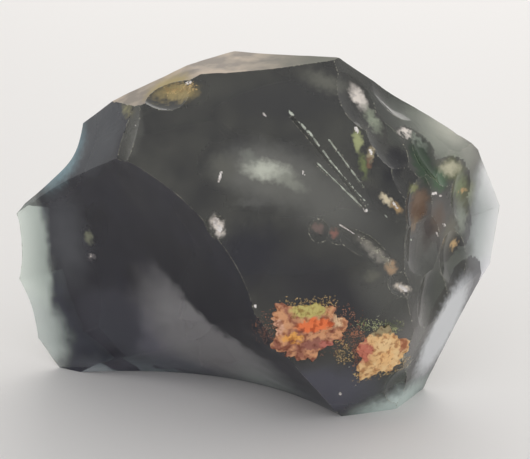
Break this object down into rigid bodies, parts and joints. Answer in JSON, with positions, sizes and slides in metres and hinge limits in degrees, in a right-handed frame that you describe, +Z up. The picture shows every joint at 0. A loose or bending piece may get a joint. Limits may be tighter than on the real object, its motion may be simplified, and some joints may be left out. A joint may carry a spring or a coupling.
{
  "type": "tektite",
  "caption": "Fist-sized lump of black natural glass with shell-like broken faces, thin see-through edges and crusts of rusty soil, standing on a flat base.",
  "frame": {"origin": "middle of the footprint on the flat base, which lies in z = 0", "axes": "+Z up, -Y is the broad front face with the crusts, +X is the right-hand side seen from the front"},
  "size_m": [0.0794, 0.0409, 0.0544],
  "materials": {
    "tektite_glass": "polished by fracture, with small matt bruises",
    "rust_crust": "matt, crumbly",
    "ochre_crust": "matt, crumbly"
  },
  "bodies": {
    "root": {"glass_body": "tektite_glass", "rust_crust_left": "rust_crust", "rust_crust_right": "ochre_crust"}
  },
  "joints": []
}
